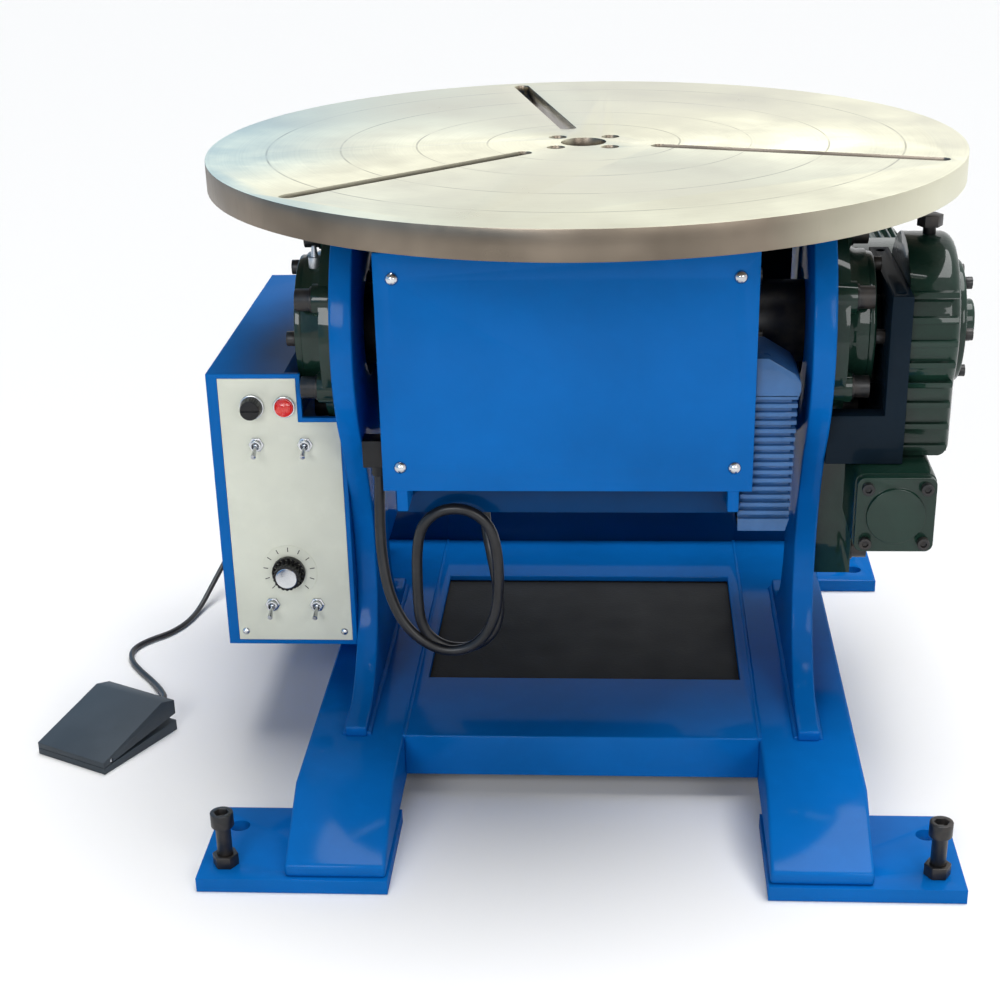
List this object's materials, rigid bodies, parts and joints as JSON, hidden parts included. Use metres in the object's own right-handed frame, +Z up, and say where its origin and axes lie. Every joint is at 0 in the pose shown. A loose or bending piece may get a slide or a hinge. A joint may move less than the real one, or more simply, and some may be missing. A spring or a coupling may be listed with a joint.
{
  "type": "welding_positioner",
  "caption": "Floor-standing welding positioner: slotted turntable that turns without end on a housing that tilts 90 degrees, with a switch box and a foot pedal.",
  "frame": {"origin": "centre of the four floor anchor holes, on the floor", "axes": "+Z up, -Y towards the operator (the table tips this way), +X to the operator's right"},
  "size_m": [1.0695, 0.92, 0.686],
  "materials": {
    "black_cable": "satin",
    "black_oxide": "satin",
    "black_plastic": "gloss",
    "blue_enamel": "semi_gloss",
    "bright_steel": "machined",
    "cream_panel": "matte",
    "dial_aluminium": "satin",
    "green_casting": "gloss",
    "grey_motor": "semi_gloss",
    "red_lens": "gloss",
    "slate_plastic": "matte",
    "steel_plate": "ground",
    "zinc": "plated"
  },
  "bodies": {
    "base": {"bearing_cap_left": "green_casting", "bearing_cap_right": "green_casting", "bearing_screws": "black_oxide", "box_gland": "black_plastic", "breather_plug": "black_oxide", "control_box": "blue_enamel", "control_panel": "cream_panel", "deck_plate": "blue_enamel", "fan_cowl": "green_casting", "flange_bearing_left": "green_casting", "flange_bearing_right": "green_casting", "foot_plates": "blue_enamel", "grease_nipple": "grey_motor", "input_gearcase": "green_casting", "lead_elbow": "black_plastic", "leg_left": "blue_enamel", "leg_right": "blue_enamel", "levelling_nuts": "zinc", "levelling_screws": "black_oxide", "panel_bezels": "bright_steel", "panel_screws": "bright_steel", "pedal_base": "slate_plastic", "pedal_cord": "black_cable", "pedal_gland": "black_plastic", "pedal_pin": "bright_steel", "pilot_lamp": "red_lens", "rear_cross_panel": "blue_enamel", "reducer_bracket": "black_oxide", "reducer_case": "green_casting", "reducer_screws": "black_oxide", "reducer_side_cover": "green_casting", "speed_dial": "dial_aluminium", "tilt_motor": "green_casting", "toggle_bushings": "bright_steel", "upright_left": "blue_enamel", "upright_right": "blue_enamel", "worm_cover": "green_casting"},
    "tilt_box": {"tilt_frame": "blue_enamel", "front_cover": "blue_enamel", "cover_screws": "bright_steel", "trunnion_left": "bright_steel", "trunnion_right": "bright_steel", "trunnion_screws": "black_oxide", "turning_motor": "grey_motor", "turning_gearcase": "grey_motor", "lead_gland": "black_plastic", "tilt_lead": "black_cable"},
    "turntable": {"table": "steel_plate", "table_screws": "black_oxide", "spindle": "bright_steel", "ring_gear": "bright_steel"},
    "toggle_1": {"toggle_lever_1": "bright_steel"},
    "toggle_2": {"toggle_lever_2": "bright_steel"},
    "toggle_3": {"toggle_lever_3": "bright_steel"},
    "toggle_4": {"toggle_lever_4": "bright_steel"},
    "knob": {"speed_knob": "black_plastic"},
    "fuse": {"fuse_cap": "black_plastic"},
    "tread": {"pedal_tread": "slate_plastic"},
    "pinion_shaft": {"pinion": "bright_steel"}
  },
  "joints": [
    {"name": "tilt", "type": "hinge", "parent": "base", "child": "tilt_box", "pos_m": [0, -0.052, 0.49], "axis": [1, 0, 0], "range_deg": [0, 90]},
    {"name": "table_turn", "type": "hinge", "parent": "tilt_box", "child": "turntable", "pos_m": [0, -0.052, 0.671], "axis": [0, 0, 1], "continuous": true},
    {"name": "pinion_turn", "type": "hinge", "parent": "tilt_box", "child": "pinion_shaft", "pos_m": [0.10607, -0.15807, 0.587], "axis": [0, 0, 1], "continuous": true},
    {"name": "toggle_1_flip", "type": "hinge", "parent": "base", "child": "toggle_1", "pos_m": [-0.36143, -0.1396, 0.37516], "axis": [-1, 0, 0], "range_deg": [0, 40]},
    {"name": "toggle_2_flip", "type": "hinge", "parent": "base", "child": "toggle_2", "pos_m": [-0.3069, -0.1396, 0.37516], "axis": [-1, 0, 0], "range_deg": [0, 40]},
    {"name": "toggle_3_flip", "type": "hinge", "parent": "base", "child": "toggle_3", "pos_m": [-0.35744, -0.1396, 0.18082], "axis": [-1, 0, 0], "range_deg": [0, 40]},
    {"name": "toggle_4_flip", "type": "hinge", "parent": "base", "child": "toggle_4", "pos_m": [-0.30557, -0.1396, 0.18082], "axis": [-1, 0, 0], "range_deg": [0, 40]},
    {"name": "knob_turn", "type": "hinge", "parent": "base", "child": "knob", "pos_m": [-0.33549, -0.1458, 0.2219], "axis": [0, -1, 0], "range_deg": [-135, 135]},
    {"name": "fuse_twist", "type": "hinge", "parent": "base", "child": "fuse", "pos_m": [-0.36276, -0.146, 0.4194], "axis": [0, -1, 0], "range_deg": [0, 90]},
    {"name": "tread_press", "type": "hinge", "parent": "base", "child": "tread", "pos_m": [-0.6389, -0.1582, 0.012], "axis": [-0.8829, 0.4695, 0], "range_deg": [0, 3.5], "stiffness_Nm_per_rad": 20, "springref_deg": -3.44}
  ],
  "couplings": [
    {"joint": "pinion_turn", "follows": "table_turn", "ratio": -4}
  ]
}
